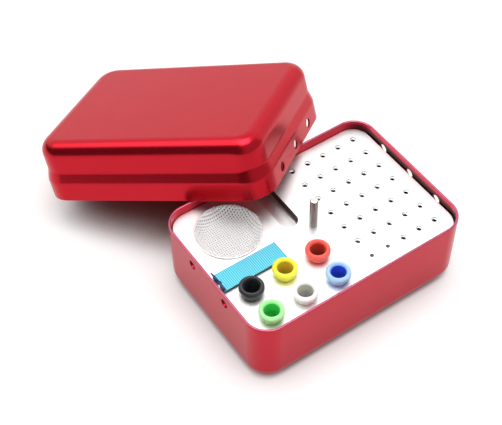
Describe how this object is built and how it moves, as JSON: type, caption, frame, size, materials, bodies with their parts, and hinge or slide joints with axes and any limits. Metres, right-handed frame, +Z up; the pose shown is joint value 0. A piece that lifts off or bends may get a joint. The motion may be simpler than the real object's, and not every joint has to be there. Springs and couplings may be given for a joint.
{
  "type": "endodontic box",
  "caption": "Rectangular metal box with a lift-off lid, shown open and leaning, and a lift-out perforated rack that carries silicone cups, a strainer dish and a short ruler.",
  "frame": {"origin": "centre of the base's underside, on the table", "axes": "+X along the base's long side towards the file holes, +Y across it towards the lid, +Z up"},
  "size_m": [0.1476, 0.1977, 0.0774],
  "materials": {
    "red_aluminium": "satin red anodised",
    "silver_aluminium": "satin, finely brushed",
    "polished_steel": "polished stainless",
    "mesh_steel": "woven stainless wire",
    "blue_aluminium": "satin blue anodised",
    "silicone_green": "soft silicone, slightly translucent",
    "silicone_white": "soft silicone, slightly translucent",
    "silicone_blue": "soft silicone, slightly translucent",
    "silicone_black": "soft silicone, slightly translucent",
    "silicone_yellow": "soft silicone, slightly translucent",
    "silicone_red": "soft silicone, slightly translucent"
  },
  "bodies": {
    "base": {"base_shell": "red_aluminium"},
    "rack": {"rack_plate": "silver_aluminium", "lower_plate": "silver_aluminium", "lifting_post": "polished_steel", "post_nut": "polished_steel", "tool_trough": "silver_aluminium", "ruler": "blue_aluminium", "pillar_1": "silver_aluminium", "foot_1": "polished_steel", "pillar_2": "silver_aluminium", "foot_2": "polished_steel", "pillar_3": "silver_aluminium", "foot_3": "polished_steel", "pillar_4": "silver_aluminium", "foot_4": "polished_steel"},
    "lid": {"lid_shell": "red_aluminium"},
    "strainer": {"strainer_rim": "mesh_steel", "strainer_mesh": "mesh_steel"},
    "cup_green": {"cup_green": "silicone_green"},
    "cup_white": {"cup_white": "silicone_white"},
    "cup_blue": {"cup_blue": "silicone_blue"},
    "cup_black": {"cup_black": "silicone_black"},
    "cup_yellow": {"cup_yellow": "silicone_yellow"},
    "cup_red": {"cup_red": "silicone_red"}
  },
  "joints": [
    {"name": "rack_lift", "type": "slide", "parent": "base", "child": "rack", "axis": [0, 0, 1], "range_m": [0, 0.04]},
    {"name": "lid_lift", "type": "slide", "parent": "rack", "child": "lid", "axis": [0, 0, 1], "range_m": [0, 0.06]},
    {"name": "strainer_lift", "type": "slide", "parent": "rack", "child": "strainer", "axis": [0, 0, 1], "range_m": [0, 0.0048]},
    {"name": "cup_green_lift", "type": "slide", "parent": "rack", "child": "cup_green", "axis": [0, 0, 1], "range_m": [0, 0.014]},
    {"name": "cup_white_lift", "type": "slide", "parent": "rack", "child": "cup_white", "axis": [0, 0, 1], "range_m": [0, 0.014]},
    {"name": "cup_blue_lift", "type": "slide", "parent": "rack", "child": "cup_blue", "axis": [0, 0, 1], "range_m": [0, 0.014]},
    {"name": "cup_black_lift", "type": "slide", "parent": "rack", "child": "cup_black", "axis": [0, 0, 1], "range_m": [0, 0.014]},
    {"name": "cup_yellow_lift", "type": "slide", "parent": "rack", "child": "cup_yellow", "axis": [0, 0, 1], "range_m": [0, 0.014]},
    {"name": "cup_red_lift", "type": "slide", "parent": "rack", "child": "cup_red", "axis": [0, 0, 1], "range_m": [0, 0.014]}
  ]
}
